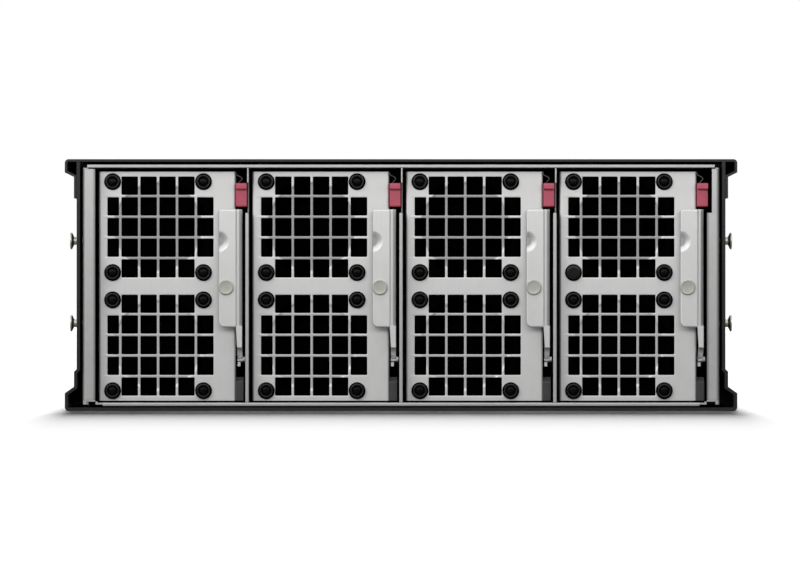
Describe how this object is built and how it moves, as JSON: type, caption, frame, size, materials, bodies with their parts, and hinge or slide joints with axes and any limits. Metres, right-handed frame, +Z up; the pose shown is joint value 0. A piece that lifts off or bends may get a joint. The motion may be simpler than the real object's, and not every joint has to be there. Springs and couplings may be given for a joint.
{
  "type": "edge server chassis",
  "caption": "Black lobed case round a silver sheet cage with hot-swap fan drawers, each with punched grilles, a release lever and a red latch; four blanked blade bays on the far side.",
  "frame": {"origin": "under the middle of the case, on the surface that it stands on", "axes": "+X along the row of drawers, to the right as the drawers are seen; +Y into the case from the drawers' faces; +Z up"},
  "size_m": [0.454, 0.43, 0.17],
  "materials": {
    "case_black": "satin black powder coat",
    "cage_steel": "zinc-plated sheet steel",
    "tray_steel": "zinc-plated sheet steel",
    "lever_steel": "zinc-plated sheet steel",
    "nickel": "dull nickel plate",
    "rivet_nylon": "black nylon",
    "latch_red": "moulded dull red plastic",
    "block_plastic": "moulded dark grey plastic",
    "fan_plastic": "moulded black plastic",
    "connector_plastic": "moulded black plastic",
    "guide_nylon": "moulded dark nylon",
    "board_green": "green solder mask",
    "spacer_rubber": "black rubber",
    "spring_steel": "bright spring steel"
  },
  "bodies": {
    "chassis": {"case_base": "case_black", "case_lid": "case_black", "side_studs": "nickel", "cage_base": "cage_steel", "cage_top": "cage_steel", "bay_dividers": "cage_steel", "cage_spacers": "spacer_rubber", "midplane_board": "board_green", "fan_sockets": "connector_plastic", "blade_sockets": "connector_plastic", "blade_guides": "guide_nylon", "bay_blanks": "case_black"},
    "drawer_1": {"fan_tray_1": "tray_steel", "fan_housings_1": "fan_plastic", "push_rivets_1": "rivet_nylon", "fan_plug_1": "connector_plastic", "pivot_pin_1": "nickel", "foot_block_1": "block_plastic", "latch_spring_1": "spring_steel"},
    "release_lever_1": {"lever_1": "lever_steel", "lever_stud_1": "nickel"},
    "red_latch_1": {"latch_1": "latch_red"},
    "upper_rotor_1": {"upper_impeller_1": "fan_plastic"},
    "lower_rotor_1": {"lower_impeller_1": "fan_plastic"},
    "drawer_2": {"fan_tray_2": "tray_steel", "fan_housings_2": "fan_plastic", "push_rivets_2": "rivet_nylon", "fan_plug_2": "connector_plastic", "pivot_pin_2": "nickel", "foot_block_2": "block_plastic", "latch_spring_2": "spring_steel"},
    "release_lever_2": {"lever_2": "lever_steel", "lever_stud_2": "nickel"},
    "red_latch_2": {"latch_2": "latch_red"},
    "upper_rotor_2": {"upper_impeller_2": "fan_plastic"},
    "lower_rotor_2": {"lower_impeller_2": "fan_plastic"},
    "drawer_3": {"fan_tray_3": "tray_steel", "fan_housings_3": "fan_plastic", "push_rivets_3": "rivet_nylon", "fan_plug_3": "connector_plastic", "pivot_pin_3": "nickel", "foot_block_3": "block_plastic", "latch_spring_3": "spring_steel"},
    "release_lever_3": {"lever_3": "lever_steel", "lever_stud_3": "nickel"},
    "red_latch_3": {"latch_3": "latch_red"},
    "upper_rotor_3": {"upper_impeller_3": "fan_plastic"},
    "lower_rotor_3": {"lower_impeller_3": "fan_plastic"},
    "drawer_4": {"fan_tray_4": "tray_steel", "fan_housings_4": "fan_plastic", "push_rivets_4": "rivet_nylon", "fan_plug_4": "connector_plastic", "pivot_pin_4": "nickel", "foot_block_4": "block_plastic", "latch_spring_4": "spring_steel"},
    "release_lever_4": {"lever_4": "lever_steel", "lever_stud_4": "nickel"},
    "red_latch_4": {"latch_4": "latch_red"},
    "upper_rotor_4": {"upper_impeller_4": "fan_plastic"},
    "lower_rotor_4": {"lower_impeller_4": "fan_plastic"}
  },
  "joints": [
    {"name": "drawer_1_slide", "type": "slide", "parent": "chassis", "child": "drawer_1", "axis": [0, -1, 0], "range_m": [0, 0.09]},
    {"name": "lever_1_swing", "type": "hinge", "parent": "drawer_1", "child": "release_lever_1", "pos_m": [-0.10765, -0.2, 0.0348], "axis": [1, 0, 0], "range_deg": [0, 75]},
    {"name": "latch_1_lift", "type": "slide", "parent": "drawer_1", "child": "red_latch_1", "axis": [0, 0, 1], "range_m": [0, 0.004], "stiffness_N_per_m": 400, "springref_m": -0.001, "deforming": ["latch_spring_1"]},
    {"name": "upper_fan_1_spin", "type": "hinge", "parent": "drawer_1", "child": "upper_rotor_1", "pos_m": [-0.1645, -0.1858, 0.12425], "axis": [0, 1, 0], "continuous": true},
    {"name": "lower_fan_1_spin", "type": "hinge", "parent": "drawer_1", "child": "lower_rotor_1", "pos_m": [-0.1645, -0.1858, 0.04425], "axis": [0, 1, 0], "continuous": true},
    {"name": "drawer_2_slide", "type": "slide", "parent": "chassis", "child": "drawer_2", "axis": [0, -1, 0], "range_m": [0, 0.09]},
    {"name": "lever_2_swing", "type": "hinge", "parent": "drawer_2", "child": "release_lever_2", "pos_m": [-0.00365, -0.2, 0.0348], "axis": [1, 0, 0], "range_deg": [0, 75]},
    {"name": "latch_2_lift", "type": "slide", "parent": "drawer_2", "child": "red_latch_2", "axis": [0, 0, 1], "range_m": [0, 0.004], "stiffness_N_per_m": 400, "springref_m": -0.001, "deforming": ["latch_spring_2"]},
    {"name": "upper_fan_2_spin", "type": "hinge", "parent": "drawer_2", "child": "upper_rotor_2", "pos_m": [-0.0605, -0.1858, 0.12425], "axis": [0, 1, 0], "continuous": true},
    {"name": "lower_fan_2_spin", "type": "hinge", "parent": "drawer_2", "child": "lower_rotor_2", "pos_m": [-0.0605, -0.1858, 0.04425], "axis": [0, 1, 0], "continuous": true},
    {"name": "drawer_3_slide", "type": "slide", "parent": "chassis", "child": "drawer_3", "axis": [0, -1, 0], "range_m": [0, 0.09]},
    {"name": "lever_3_swing", "type": "hinge", "parent": "drawer_3", "child": "release_lever_3", "pos_m": [0.10035, -0.2, 0.0348], "axis": [1, 0, 0], "range_deg": [0, 75]},
    {"name": "latch_3_lift", "type": "slide", "parent": "drawer_3", "child": "red_latch_3", "axis": [0, 0, 1], "range_m": [0, 0.004], "stiffness_N_per_m": 400, "springref_m": -0.001, "deforming": ["latch_spring_3"]},
    {"name": "upper_fan_3_spin", "type": "hinge", "parent": "drawer_3", "child": "upper_rotor_3", "pos_m": [0.0435, -0.1858, 0.12425], "axis": [0, 1, 0], "continuous": true},
    {"name": "lower_fan_3_spin", "type": "hinge", "parent": "drawer_3", "child": "lower_rotor_3", "pos_m": [0.0435, -0.1858, 0.04425], "axis": [0, 1, 0], "continuous": true},
    {"name": "drawer_4_slide", "type": "slide", "parent": "chassis", "child": "drawer_4", "axis": [0, -1, 0], "range_m": [0, 0.09]},
    {"name": "lever_4_swing", "type": "hinge", "parent": "drawer_4", "child": "release_lever_4", "pos_m": [0.20435, -0.2, 0.0348], "axis": [1, 0, 0], "range_deg": [0, 75]},
    {"name": "latch_4_lift", "type": "slide", "parent": "drawer_4", "child": "red_latch_4", "axis": [0, 0, 1], "range_m": [0, 0.004], "stiffness_N_per_m": 400, "springref_m": -0.001, "deforming": ["latch_spring_4"]},
    {"name": "upper_fan_4_spin", "type": "hinge", "parent": "drawer_4", "child": "upper_rotor_4", "pos_m": [0.1475, -0.1858, 0.12425], "axis": [0, 1, 0], "continuous": true},
    {"name": "lower_fan_4_spin", "type": "hinge", "parent": "drawer_4", "child": "lower_rotor_4", "pos_m": [0.1475, -0.1858, 0.04425], "axis": [0, 1, 0], "continuous": true}
  ]
}
